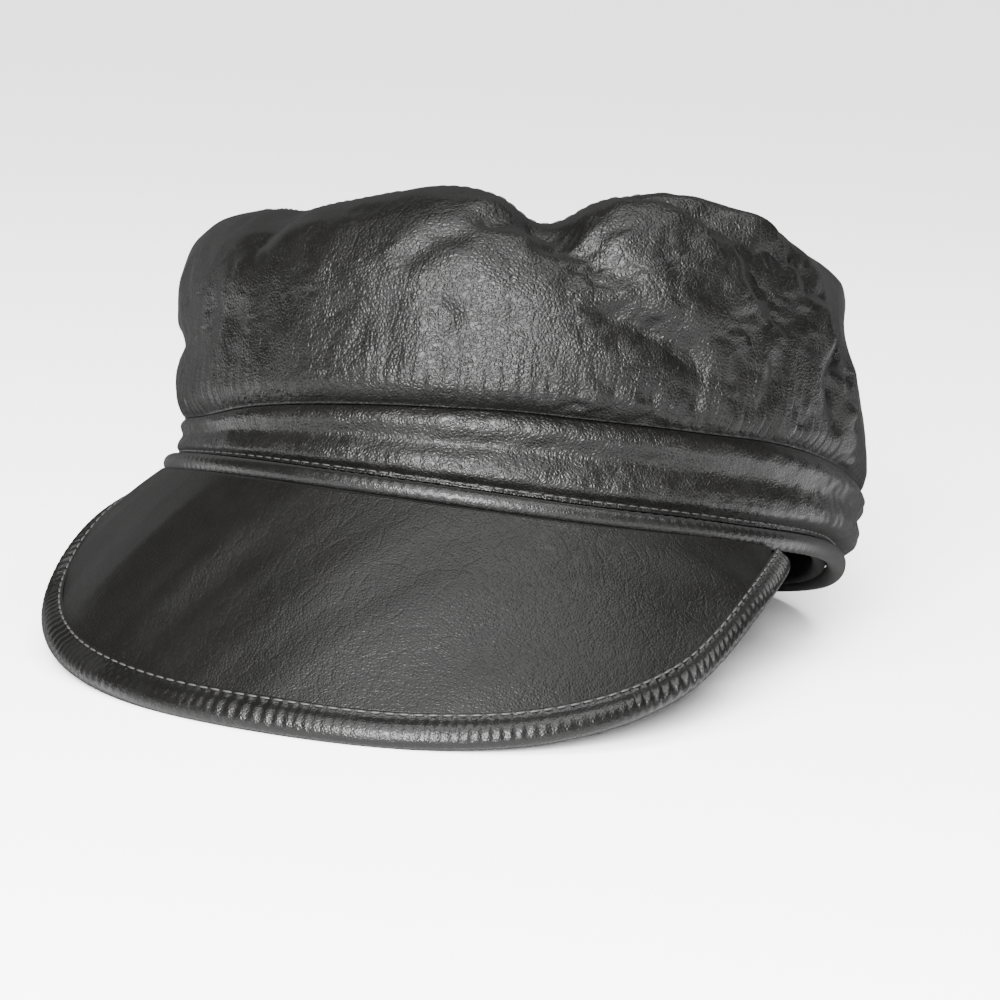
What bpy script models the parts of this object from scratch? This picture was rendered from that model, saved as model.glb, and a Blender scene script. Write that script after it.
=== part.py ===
"""Skipper cap in soft leather, resting on a surface on its back rim and the edge of its peak.

Frame: metres, +Z up. The cap faces -Y, and +X is the wearer's left. The cap is shaped
upright on its rim, then leaned back by LEAN_ANGLE, which lifts the front of the rim
until the peak slopes down to the surface. Angles round the head start at the front
centre and grow towards the wearer's left.
"""
import math

import bmesh
import bpy
import numpy as np

# Head opening and the walls round it
OPENING_WIDTH = 0.166
OPENING_LENGTH = 0.1964
SWEATBAND_WALL = 0.0016
SWEATBAND_HEIGHT = 0.028
SWEATBAND_ROOM = 0.0022
LIP_RADIUS = 0.0012
BAND_WALL = 0.0018
BAND_HEIGHT = 0.0245
BAND_RELIEF = 0.0014
BAND_BULGE = 0.006
HEM_RADIUS = 0.0026

# Crown
CROWN_WALL = 0.0016
CROWN_RISE = 0.061
CROWN_SWELL = 0.006
FOLD_DEPTH = 0.0050

# Peak
PEAK_REACH = 0.048
PEAK_SPREAD = 0.0175
PEAK_END_ANGLE = 77.5
PEAK_CAMBER = 0.0020
BOARD_THICKNESS = 0.0016
BINDING_LEATHER = 0.0010
BINDING_WIDTH = 0.0085

# Share of the peak's depth that the binding may fill at the peak's thin ends
BINDING_LIMIT = 0.98

# How the cap stands
LEAN_ANGLE = 15.0
RIM_WAVE = 0.003
FLOOR_PRESS = 0.0008
PIECE_GAP = 0.0003

# Smoothness of the meshes
COARSE_STEP = 6.4
FINE_STEP = 3.2
FINE_FROM = 19.2
FINE_TO = 115.2
RING_COLUMNS = 66
PEAK_COLUMNS = 40
END_CROWDING = 0.8

HALF_WIDTH = OPENING_WIDTH / 2 + SWEATBAND_WALL + SWEATBAND_ROOM + BAND_WALL
HALF_LENGTH = OPENING_LENGTH / 2 + SWEATBAND_WALL + SWEATBAND_ROOM + BAND_WALL
ROLL_OUT = HEM_RADIUS * 0.45
BINDING_THICKNESS = BOARD_THICKNESS + 2 * (BINDING_LEATHER + PIECE_GAP)

# Soft wave of the rim: angle, height over the flat rim as a share of RIM_WAVE
RIM_HEIGHTS = [
    (-180, 0.40), (-150, -0.40), (-120, 0.30), (-70, 0.25), (-35, -0.35), (0, -0.78),
    (35, -0.50), (60, 0.40), (95, 1.40), (125, 0.00), (150, -0.50),
]

# Sections round the head, one for each angle.
# angle; seam = height of the band as a share of BAND_HEIGHT; girth = how far the band
# stands out, as a share of BAND_BULGE; tuck, hem, low, high, shoulder = how far the crown
# stands out at five stations up its side, as shares of CROWN_SWELL; top = height of the
# crest over the band as a share of CROWN_RISE
SECTIONS = [
    (-180, 0.94, 0.3, 0.2, 0.8, 0.9, 0.7, -0.3, 0.86),
    (-140, 0.86, 0.3, 0.2, 0.7, 0.9, 0.8, -0.2, 0.80),
    (-100, 0.66, 0.1, 0.1, 0.6, 0.8, 0.9, 0.1, 0.76),
    (-60, 0.50, 0.0, 0.0, 0.5, 0.9, 1.2, 0.5, 0.74),
    (-38, 0.52, 0.0, 0.0, 0.7, 0.9, 1.0, 0.2, 0.71),
    (-24, 0.64, 0.0, 0.1, 0.8, 1.0, 0.9, 0.0, 0.72),
    (-5, 0.77, 0.1, 0.2, 0.9, 1.0, 0.9, -0.2, 0.80),
    (5, 0.83, 0.1, 0.2, 0.9, 1.0, 0.9, -0.2, 0.845),
    (14, 0.88, 0.1, 0.2, 0.9, 1.0, 0.9, -0.3, 0.83),
    (23, 0.93, 0.1, 0.2, 0.9, 1.0, 0.8, -0.4, 0.795),
    (32, 0.95, 0.1, 0.2, 0.9, 1.0, 0.8, -0.3, 0.89),
    (43, 0.97, 0.2, 0.2, 0.9, 1.0, 0.8, -0.3, 0.985),
    (56, 0.98, 0.3, 0.3, 0.9, 1.0, 0.8, -0.4, 0.995),
    (66, 1.00, 0.4, 0.3, 0.9, 0.9, 0.7, -0.5, 0.985),
    (75, 0.98, 0.6, 0.3, 0.9, 0.8, 0.4, -0.6, 0.95),
    (89, 0.91, 0.8, 0.4, 0.9, 0.6, -0.3, -0.4, 0.92),
    (107, 0.84, 0.9, 0.6, 0.9, 0.2, -1.1, -0.6, 0.96),
    (125, 0.85, 0.6, 0.5, 0.9, 0.4, -0.6, -0.6, 0.94),
    (150, 0.92, 0.4, 0.3, 0.9, 0.8, 0.3, -0.5, 0.90),
]
SEAM, GIRTH, TUCK, TOP = 1, 2, 3, 8
STATIONS = (0.00, 0.10, 0.26, 0.50, 0.72, 0.86)
CENTRE_TOP = 0.84
TOP_LEVEL_WAY = 0.96

# Side of the crown from seam to centre: way; reach = share of the head's outline;
# climb = share of the height from seam to crest
CROWN_PROFILE = [
    (0.00, 1.000, 0.00), (0.04, 1.000, 0.02), (0.22, 1.000, 0.32), (0.50, 1.000, 0.68),
    (0.62, 0.985, 0.86), (0.70, 0.945, 0.955), (0.76, 0.880, 1.00), (0.84, 0.720, 0.995),
    (0.93, 0.400, 0.95), (1.00, 0.000, 0.92),
]
SIDE_WAYS = (
    0.00, 0.02, 0.06, 0.11, 0.17, 0.23, 0.29, 0.35, 0.41, 0.47, 0.53, 0.59, 0.64, 0.69, 0.74,
)
TOP_SEAM_WAY = 0.79
FOLD_START_WAY = 0.10
LEAST_REACH = 0.15
TOP_WAYS = (0.85, 0.91, 0.96)

# Dents and folds of the crown: angle, way; length and width as shares of CROWN_RISE;
# heading in degrees, 0 round the head and 90 up the side; depth as a share of
# FOLD_DEPTH, less than nothing where the leather sinks in
FOLDS = [
    (26, 0.62, 0.30, 0.11, 118, -0.85),
    (34, 0.48, 0.14, 0.10, 150, -0.45),
    (40, 0.26, 0.24, 0.08, -22, -0.45),
    (46, 0.36, 0.22, 0.08, -30, 0.30),
    (52, 0.66, 0.30, 0.08, -20, -0.65),
    (60, 0.49, 0.16, 0.09, -78, -0.50),
    (63, 0.64, 0.22, 0.08, -20, 0.50),
    (70, 0.60, 0.18, 0.07, -38, -0.55),
    (65, 0.40, 0.16, 0.13, 80, -0.35),
    (75, 0.38, 0.22, 0.07, 84, 0.40),
    (81, 0.34, 0.22, 0.07, 80, -0.45),
    (88, 0.22, 0.26, 0.08, 76, 0.30),
    (108, 0.55, 0.30, 0.12, 80, -0.40),
    (135, 0.45, 0.34, 0.12, 60, -0.60),
    (163, 0.58, 0.30, 0.13, 110, -0.60),
    (-162, 0.40, 0.32, 0.12, 70, -0.50),
    (-128, 0.60, 0.28, 0.13, 105, -0.70),
    (-96, 0.42, 0.30, 0.12, 75, -0.45),
    (-59, 0.24, 0.22, 0.06, 0, -0.50),
    (-28, 0.68, 0.24, 0.12, 120, -0.50),
    (-14, 0.50, 0.30, 0.12, -35, 0.15),
    (24, 0.82, 0.34, 0.16, 95, -0.60),
    (105, 0.86, 0.40, 0.20, 70, -0.70),
    (-150, 0.88, 0.45, 0.22, 60, -0.60),
    (-60, 0.86, 0.40, 0.20, 110, 0.35),
]

# Band from hem to crown: share of its height, relief as a share of BAND_RELIEF,
# and how much of the bulge is reached there
BAND_PROFILE = [
    (0.00, 0.0, 0.0), (0.14, -0.3, 0.3), (0.32, 1.0, 0.9), (0.55, -0.2, 1.0),
    (0.82, 1.0, 0.9), (1.00, 0.0, 0.6),
]

# Free edge of the peak: share of the way from the middle to an end, height there as a
# share of the end's height
PEAK_EDGE_HEIGHTS = [(0.0, 0.0), (0.2, 0.0), (0.4, 0.09), (0.6, 0.34), (0.8, 0.80), (1.0, 1.0)]
PEAK_END_TURN = 84.0
CAMBER_DIRECTION = np.array([0.0, -0.5, 0.86])
EDGE_SEAT = 0.15
BOARD_END_SHARE = 0.97
BOARD_ROWS = (0.0, 0.14, 0.29, 0.44, 0.59, 0.74, 0.88, 1.0)

# Outside of the binding from the stitches over the edge to the underside: share of
# BINDING_WIDTH in from the edge, height over the middle as a share of half the thickness
BINDING_PROFILE = [
    (1.00, 1.0), (0.50, 1.2), (0.16, 0.95), (0.00, 0.25), (0.00, -0.4), (0.10, -1.0),
    (0.50, -1.0), (1.00, -1.0),
]


def curve(rows, column, at, period=None):
    """A smooth curve through one column of a table, read at one or many places."""
    places = np.array([row[0] for row in rows], float)
    values = np.array([row[column] for row in rows], float)
    at = np.asarray(at, float)
    if period:
        places = np.concatenate([places[-2:] - period, places, places[:3] + period])
        values = np.concatenate([values[-2:], values, values[:3]])
        at = (at - places[2]) % period + places[2]
    slopes = np.gradient(values, places)
    first = np.clip(np.searchsorted(places, at, side="right") - 1, 0, len(places) - 2)
    span = places[first + 1] - places[first]
    u = np.clip((at - places[first]) / span, 0, 1)
    start = (2 * u**3 - 3 * u**2 + 1) * values[first] + (u**3 - 2 * u**2 + u) * span * slopes[first]
    end = (3 * u**2 - 2 * u**3) * values[first + 1] + (u**3 - u**2) * span * slopes[first + 1]
    return start + end


def around(rows, column, angle):
    return curve(rows, column, angle, 360)


def unit(vectors):
    return vectors / np.maximum(np.linalg.norm(vectors, axis=-1, keepdims=True), 1e-12)


def rim_point(angle, out, height):
    """A point beside the band's lower edge, upright: out from its face, up from the rim."""
    a = np.radians(angle)
    point = np.stack([HALF_WIDTH * np.sin(a), -HALF_LENGTH * np.cos(a)], -1)
    normal = unit(np.stack([np.sin(a) / HALF_WIDTH, -np.cos(a) / HALF_LENGTH], -1))
    flat = point + normal * np.asarray(out)[..., None]
    lifted = around(RIM_HEIGHTS, 1, angle) * RIM_WAVE + height
    return np.concatenate([flat, np.broadcast_to(lifted, flat.shape[:-1])[..., None]], -1)


def lean(points):
    """Leans the upright cap back about the X axis."""
    x, y, z = points[..., 0], points[..., 1], points[..., 2]
    c, s = math.cos(math.radians(LEAN_ANGLE)), math.sin(math.radians(LEAN_ANGLE))
    return np.stack([x, y * c + z * s, z * c - y * s], -1)


def rim_drop():
    """Lowest point of the leaned hem, before the cap is lifted onto the surface."""
    angles = np.linspace(-180, 180, 361)
    return lean(rim_point(angles, ROLL_OUT, -HEM_RADIUS))[:, 2].min()


LIFT = -rim_drop() - FLOOR_PRESS


def stand(points):
    """Upright points moved to where the cap stands, flattened where it rests."""
    standing = lean(points)
    standing[..., 2] = np.maximum(standing[..., 2] + LIFT, 0.0)
    return standing


def crown_out(angle, way):
    """How far the crown stands out from the band's outline."""
    stops = [CROWN_SWELL * around(SECTIONS, TUCK + k, angle) for k in range(5)]
    stops.append(0 * stops[0])
    out = 0 * way * stops[0]
    for k in range(len(STATIONS) - 1):
        low, high = STATIONS[k], STATIONS[k + 1]
        u = np.clip((way - low) / (high - low), 0, 1)
        slopes = []
        for j in (k, k + 1):
            inside = 0 < j < len(STATIONS) - 1
            run = STATIONS[j + 1] - STATIONS[j - 1] if inside else 1.0
            slopes.append((stops[j + 1] - stops[j - 1]) / run if inside else 0 * stops[0])
        piece = (2 * u**3 - 3 * u**2 + 1) * stops[k] + (3 * u**2 - 2 * u**3) * stops[k + 1]
        piece = piece + (high - low) * ((u**3 - 2 * u**2 + u) * slopes[0] + (u**3 - u**2) * slopes[1])
        out = np.where((way >= low) & (way <= high), piece, out)
    return out


def crown_smooth(angle, way):
    """The crown's outer face before its folds, upright."""
    seam = BAND_HEIGHT * around(SECTIONS, SEAM, angle)
    crest = BAND_HEIGHT + CROWN_RISE * around(SECTIONS, TOP, angle)
    wave = around(RIM_HEIGHTS, 1, angle) * RIM_WAVE
    inner = np.clip((way - STATIONS[4]) / (TOP_LEVEL_WAY - STATIONS[4]), 0, 1)
    inner = inner * inner * (3 - 2 * inner)
    crest = crest * (1 - inner) + (BAND_HEIGHT + CROWN_RISE * CENTRE_TOP) * inner
    height = seam + PIECE_GAP + wave + (crest - seam - wave) * curve(CROWN_PROFILE, 2, way)
    reach = curve(CROWN_PROFILE, 1, way)
    rim = rim_point(angle, 0 * reach, 0.0)
    normal = unit((rim_point(angle, 0 * reach + 1.0, 0.0) - rim)[..., :2])
    flat = rim[..., :2] * reach[..., None] + normal * crown_out(angle, way)[..., None]
    return np.concatenate([flat, height[..., None]], -1)


def crown_normal(angle, way):
    step = 1e-3
    round_head = crown_smooth(angle + step, way) - crown_smooth(angle - step, way)
    up_side = crown_smooth(angle, np.minimum(way + step, 1.0)) - crown_smooth(angle, np.maximum(way - step, 0.0))
    return unit(np.cross(round_head, up_side))


def side_length(way):
    """Length of leather from the seam to a way up the side."""
    ways = np.linspace(0, 1, 120)
    side = crown_smooth(np.full(120, 45.0), ways)
    run = np.concatenate([[0.0], np.cumsum(np.linalg.norm(np.diff(side, axis=0), axis=1))])
    return np.interp(way, ways, run)


def fold_push(angle, way):
    """How far the folds move the leather along its normal."""
    reach = np.maximum(curve(CROWN_PROFILE, 1, way), LEAST_REACH)
    girth = (HALF_WIDTH + HALF_LENGTH) / 2
    push = 0 * way * angle
    for at_angle, at_way, length, width, heading, depth in FOLDS:
        across_head = np.radians((angle - at_angle + 180) % 360 - 180) * girth * reach
        up_side = side_length(way) - side_length(at_way)
        c, s = math.cos(math.radians(heading)), math.sin(math.radians(heading))
        along = (across_head * c + up_side * s) / (length * CROWN_RISE)
        aside = (up_side * c - across_head * s) / (width * CROWN_RISE)
        push = push + depth * FOLD_DEPTH * np.exp(-along**2 - aside**2)
    return push * np.clip(way / FOLD_START_WAY, 0, 1)


def crown_face(angle, way):
    return crown_smooth(angle, way) + crown_normal(angle, way) * fold_push(angle, way)[..., None]


def ring_angles(count):
    return np.arange(count) * 360.0 / count - 180.0


def crown_angles():
    """Columns round the crown, closer together where the leather is creased."""
    before = np.arange(-180.0, FINE_FROM - COARSE_STEP / 2, COARSE_STEP)
    creased = np.arange(FINE_FROM, FINE_TO, FINE_STEP)
    after = np.arange(FINE_TO, 180.0 - COARSE_STEP / 2, COARSE_STEP)
    return np.concatenate([before, creased, after])


def top_seam_gap():
    """The gap between the crown's side and top, as a share of the way up."""
    step = 0.01
    stretch = side_length(TOP_SEAM_WAY + step) - side_length(TOP_SEAM_WAY - step)
    return PIECE_GAP * 2 * step / stretch


def crown_rings():
    """Outer and inner rows of the side, the same of the top, and the top's two centres."""
    angles = crown_angles()
    ways = SIDE_WAYS + (TOP_SEAM_WAY, TOP_SEAM_WAY + top_seam_gap()) + TOP_WAYS
    faces = np.array([crown_face(angles, np.full(len(angles), way)) for way in ways])
    centre = crown_face(np.array([0.0]), np.array([1.0]))[0]
    rows = np.concatenate([faces, np.broadcast_to(centre, (1, len(angles), 3))])
    round_head = np.roll(faces, -1, axis=1) - np.roll(faces, 1, axis=1)
    up_side = np.gradient(rows, axis=0)[:-1]
    normals = unit(np.cross(round_head, up_side))
    seam = len(SIDE_WAYS)
    normals[seam] = normals[seam + 1] = unit(normals[seam] + normals[seam + 1])
    inner = faces - normals * CROWN_WALL
    inner[:3, :, 2] = faces[:3, :, 2]
    side = stand(faces[:seam + 1]), stand(inner[:seam + 1])
    top = stand(faces[seam + 1:]), stand(inner[seam + 1:])
    centres = stand(centre), stand(centre - np.array([0.0, 0.0, CROWN_WALL]))
    return side, top, centres


def band_out(angle, share):
    relief = curve(BAND_PROFILE, 1, share) * BAND_RELIEF * around(SECTIONS, SEAM, angle)
    bulge = curve(BAND_PROFILE, 2, share) * BAND_BULGE * around(SECTIONS, GIRTH, angle)
    return relief + bulge


def band_face(angle, share, sink=0.0):
    """The band's outer face, or a face sunk below it, from the hem to the crown."""
    low = HEM_RADIUS + PIECE_GAP
    high = BAND_HEIGHT * around(SECTIONS, SEAM, angle)
    return rim_point(angle, band_out(angle, share) - sink, low + (high - low) * share)


def band_rings():
    angles = ring_angles(RING_COLUMNS)
    shares = [row[0] for row in BAND_PROFILE]
    outer = [band_face(angles, np.full(RING_COLUMNS, share)) for share in shares]
    inner = [band_face(angles, np.full(RING_COLUMNS, share), BAND_WALL) for share in shares[::-1]]
    return [stand(ring) for ring in outer + inner]


def hem_rings(sides=8):
    angles = ring_angles(RING_COLUMNS)
    rings = []
    for k in range(sides):
        turn = 2 * math.pi * (k + 0.5) / sides
        out = ROLL_OUT + HEM_RADIUS * math.cos(turn)
        rings.append(stand(rim_point(angles, np.full(RING_COLUMNS, out), HEM_RADIUS * math.sin(turn))))
    return rings


def sweatband_rings():
    """A thin inner band with a rolled lip that lies against the hem."""
    angles = ring_angles(RING_COLUMNS)
    lip_out = ROLL_OUT - HEM_RADIUS - PIECE_GAP
    face_out = -(BAND_WALL + SWEATBAND_ROOM)
    back_out = face_out - SWEATBAND_WALL
    profile = [
        (lip_out, LIP_RADIUS * 0.6), (face_out, LIP_RADIUS * 1.8), (face_out, SWEATBAND_HEIGHT),
        (back_out, SWEATBAND_HEIGHT), (back_out, -LIP_RADIUS * 0.4),
        ((lip_out + back_out) / 2, -LIP_RADIUS), (lip_out, -LIP_RADIUS * 0.6),
    ]
    return [stand(rim_point(angles, np.full(RING_COLUMNS, out), height)) for out, height in profile]


def hem_centre(turn):
    angle = np.asarray(turn, float) / 90 * PEAK_END_ANGLE
    return stand(rim_point(angle, 0 * angle + ROLL_OUT, 0.0))


def peak_edge(turn):
    """Middle of the peak's free edge, lying on the surface at the front and rising to the ends."""
    ends = hem_centre(np.array([-90.0, 90.0]))
    end = np.where((np.asarray(turn) > 0)[..., None], ends[1], ends[0])
    front = hem_centre(np.array([0.0]))[0, 1] - PEAK_REACH
    a = np.radians(turn)
    x = ends[1, 0] * np.sin(a) + PEAK_SPREAD * np.sin(2 * a)
    y = end[..., 1] + (front - end[..., 1]) * np.cos(a)
    rise = curve(PEAK_EDGE_HEIGHTS, 1, np.abs(turn) / 90)
    low = BINDING_THICKNESS * EDGE_SEAT
    drop = HEM_RADIUS + BINDING_THICKNESS / 2
    z = low + (end[..., 2] - drop - low) * rise
    return np.stack([x, y, z], -1)


def peak_base(turn):
    """Where the peak starts, against the underside of the hem."""
    centre, edge = hem_centre(turn), peak_edge(turn)
    return centre + unit(edge - centre) * (HEM_RADIUS + PIECE_GAP)


def peak_middle(turn, share):
    """The middle of the peak's thickness from its base, share 0, to its free edge, share 1."""
    base, edge = peak_base(turn), peak_edge(turn)
    share = np.asarray(share)[..., None]
    camber = PEAK_CAMBER * np.sin(math.pi * share) * np.cos(np.radians(turn))[..., None]
    return base + (edge - base) * share + CAMBER_DIRECTION * camber


def peak_normal(turn, share):
    share = np.asarray(share, float) + 0 * turn
    aside = peak_middle(turn + 0.5, share) - peak_middle(turn - 0.5, share)
    along = peak_middle(turn, share + 0.02) - peak_middle(turn, share - 0.02)
    return unit(np.cross(along, aside))


def peak_depth(turn):
    return np.linalg.norm(peak_edge(turn) - peak_base(turn), axis=-1)


def peak_turns():
    """Turns along the peak, closer together towards its ends."""
    steps = np.linspace(-1, 1, PEAK_COLUMNS)
    return PEAK_END_TURN * np.sin(steps * math.pi / 2 * END_CROWDING) / math.sin(math.pi / 2 * END_CROWDING)


def peak_point(turn, inset, height):
    """A point at a distance in from the free edge and at a height over the middle."""
    share = np.maximum(1.0 - inset / peak_depth(turn), 0.0)
    point = peak_middle(turn, share) + peak_normal(turn, share) * height
    point[..., 2] = np.maximum(point[..., 2], 0.0)
    return point


def board_sheets():
    """Top and underside of the stiff board, in rows from the hem to inside the binding."""
    turns = peak_turns() * BOARD_END_SHARE
    limit = 1.0 - (BINDING_LEATHER + PIECE_GAP) / peak_depth(turns)
    sheets = []
    for height in (BOARD_THICKNESS / 2, -BOARD_THICKNESS / 2):
        sheets.append([
            peak_middle(turns, share * limit) + peak_normal(turns, share * limit) * height
            for share in BOARD_ROWS
        ])
    return sheets


def binding_rings():
    """The leather folded round the free edge: outside round, inside against the board."""
    turns = peak_turns()
    half = BINDING_THICKNESS / 2
    slot = half - BINDING_LEATHER
    width = np.minimum(BINDING_WIDTH, peak_depth(turns) * BINDING_LIMIT)
    floor_of_slot = np.minimum(BINDING_LEATHER, width / 2)
    rings = [peak_point(turns, share * width, height * half) for share, height in BINDING_PROFILE]
    for inset, height in ((width, -slot), (floor_of_slot, -slot), (floor_of_slot, slot), (width, slot)):
        rings.append(peak_point(turns, inset, height))
    return rings


def finish_mesh(name, mesh, material):
    mesh.normal_update()
    bmesh.ops.recalc_face_normals(mesh, faces=mesh.faces)
    data = bpy.data.meshes.new(name)
    mesh.to_mesh(data)
    mesh.free()
    data.materials.append(material)
    data.shade_smooth()
    data.set_sharp_from_angle(angle=math.radians(50))
    piece = bpy.data.objects.new(name, data)
    bpy.context.scene.collection.objects.link(piece)
    return piece


def bridge(mesh, first, second, closed):
    count = len(first)
    for k in range(count if closed else count - 1):
        n = (k + 1) % count
        mesh.faces.new((first[k], first[n], second[n], second[k]))


def ring_piece(name, rings, material, shift):
    """A closed band: rings of points bridged one to the next, and the last to the first."""
    mesh = bmesh.new()
    rows = [[mesh.verts.new(point + shift) for point in ring] for ring in rings]
    for k, row in enumerate(rows):
        bridge(mesh, row, rows[(k + 1) % len(rows)], closed=True)
    return finish_mesh(name, mesh, material)


def top_piece(name, sheets, centres, material, shift):
    """The crown's round top: an outer and an inner sheet, joined along the seam."""
    mesh = bmesh.new()
    shells = []
    for rows, centre in zip(sheets, centres):
        verts = [[mesh.verts.new(point + shift) for point in row] for row in rows]
        pole = mesh.verts.new(centre + shift)
        for low, high in zip(verts, verts[1:]):
            bridge(mesh, low, high, closed=True)
        last = verts[-1]
        for k, vert in enumerate(last):
            mesh.faces.new((vert, last[(k + 1) % len(last)], pole))
        shells.append(verts)
    bridge(mesh, shells[0][0], shells[1][0], closed=True)
    return finish_mesh(name, mesh, material)


def board_piece(name, sheets, material, shift):
    mesh = bmesh.new()
    grids = []
    for sheet in sheets:
        grid = [[mesh.verts.new(point + shift) for point in row] for row in sheet]
        for low, high in zip(grid, grid[1:]):
            bridge(mesh, low, high, closed=False)
        grids.append(grid)
    top, under = grids
    bridge(mesh, top[0], under[0], closed=False)
    bridge(mesh, top[-1], under[-1], closed=False)
    for side in (0, -1):
        bridge(mesh, [row[side] for row in top], [row[side] for row in under], closed=False)
    return finish_mesh(name, mesh, material)


def strip_piece(name, rings, material, shift):
    """A strip with one closed profile along its length and a face at each end."""
    mesh = bmesh.new()
    rows = [[mesh.verts.new(point + shift) for point in ring] for ring in rings]
    for k, row in enumerate(rows):
        bridge(mesh, row, rows[(k + 1) % len(rows)], closed=False)
    for side in (0, -1):
        mesh.faces.new([row[side] for row in rows])
    return finish_mesh(name, mesh, material)


def leather(name, colour, roughness):
    material = bpy.data.materials.new(name)
    material.use_nodes = True
    shader = material.node_tree.nodes["Principled BSDF"]
    shader.inputs["Base Color"].default_value = (*colour, 1.0)
    shader.inputs["Roughness"].default_value = roughness
    shader.inputs["Metallic"].default_value = 0.0
    material.diffuse_color = (*colour, 1.0)
    return material


def centring_shift(groups):
    """Moves the whole cap so that its box stands centred on the origin."""
    points = np.concatenate([np.reshape(group, (-1, 3)) for group in groups])
    low, high = points.min(axis=0), points.max(axis=0)
    return np.array([-(low[0] + high[0]) / 2, -(low[1] + high[1]) / 2, -low[2]])


def build():
    for old in list(bpy.data.objects):
        bpy.data.objects.remove(old)
    side, top, centres = crown_rings()
    band, hem, sweatband = band_rings(), hem_rings(), sweatband_rings()
    board, binding = board_sheets(), binding_rings()
    shift = centring_shift([side[0], top[0], band, hem, sweatband, board, binding])
    side_rings = [*side[0], *side[1][::-1]]
    ring_piece("crown_side", side_rings, leather("crown_leather", (0.024, 0.023, 0.022), 0.42), shift)
    top_piece("crown_top", top, centres, leather("top_leather", (0.024, 0.023, 0.022), 0.42), shift)
    ring_piece("band", band, leather("band_leather", (0.026, 0.025, 0.024), 0.40), shift)
    ring_piece("hem_roll", hem, leather("hem_leather", (0.024, 0.023, 0.022), 0.40), shift)
    ring_piece("sweatband", sweatband, leather("sweatband_leather", (0.018, 0.017, 0.016), 0.55), shift)
    board_piece("peak", board, leather("peak_leather", (0.028, 0.026, 0.025), 0.38), shift)
    strip_piece("peak_binding", binding, leather("binding_leather", (0.024, 0.023, 0.022), 0.38), shift)


build()
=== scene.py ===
import math
import random

import bpy
import bmesh
import numpy as np
from mathutils import Matrix, Vector


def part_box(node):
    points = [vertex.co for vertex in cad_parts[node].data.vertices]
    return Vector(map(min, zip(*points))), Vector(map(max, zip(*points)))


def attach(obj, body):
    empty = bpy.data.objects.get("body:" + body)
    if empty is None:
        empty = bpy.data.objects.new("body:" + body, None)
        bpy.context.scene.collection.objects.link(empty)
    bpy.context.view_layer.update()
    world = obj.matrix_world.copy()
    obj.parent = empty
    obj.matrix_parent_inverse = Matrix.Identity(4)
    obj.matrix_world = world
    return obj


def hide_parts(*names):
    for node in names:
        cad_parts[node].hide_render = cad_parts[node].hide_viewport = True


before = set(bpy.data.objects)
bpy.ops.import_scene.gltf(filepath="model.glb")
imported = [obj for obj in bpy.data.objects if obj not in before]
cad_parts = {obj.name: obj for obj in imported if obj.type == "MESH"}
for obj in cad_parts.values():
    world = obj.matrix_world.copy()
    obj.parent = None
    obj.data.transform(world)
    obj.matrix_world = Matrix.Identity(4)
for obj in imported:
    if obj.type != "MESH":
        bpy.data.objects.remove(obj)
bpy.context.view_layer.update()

print("skipper cap: frame loaded")

# the cap's sizes in metres and degrees, the same as the solids'
cap = {
    "openingWidth": 0.166, "openingLength": 0.1964,
    "sweatbandWall": 0.0016, "sweatbandHeight": 0.028, "sweatbandRoom": 0.0022, "lipRadius": 0.0012,
    "bandWall": 0.0018, "bandHeight": 0.0245, "bandRelief": 0.0014, "bandBulge": 0.006,
    "hemRadius": 0.0026, "hemOut": 0.45, "hemSolid": (66, 8),
    "crownWall": 0.0016, "crownRise": 0.061, "crownSwell": 0.006, "foldDepth": 0.0050,
    "peakReach": 0.048, "peakSpread": 0.0175, "peakEndAngle": 77.5, "peakCamber": 0.0020,
    "boardThickness": 0.0016, "bindingLeather": 0.0010, "bindingWidth": 0.0085,
    "leanAngle": 15.0, "rimWave": 0.003, "floorPress": 0.0008, "pieceGap": 0.0003,
}
wallsRoundHead = cap["sweatbandWall"] + cap["sweatbandRoom"] + cap["bandWall"]
halfWidth = cap["openingWidth"] / 2 + wallsRoundHead
halfLength = cap["openingLength"] / 2 + wallsRoundHead
meanRadius = (halfWidth + halfLength) / 2
rollOut = cap["hemRadius"] * cap["hemOut"]
bindingThickness = cap["boardThickness"] + 2 * (cap["bindingLeather"] + cap["pieceGap"])

mm = 1000  # relief is set out in millimetres
perDegree = math.radians(1) * meanRadius * mm  # millimetres round the head

# soft wave of the rim: angle, share of rimWave
rimHeights = [
    (-180, 0.40), (-150, -0.40), (-120, 0.30), (-70, 0.25), (-35, -0.35), (0, -0.78),
    (35, -0.50), (60, 0.40), (95, 1.40), (125, 0.00), (150, -0.50),
]
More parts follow.
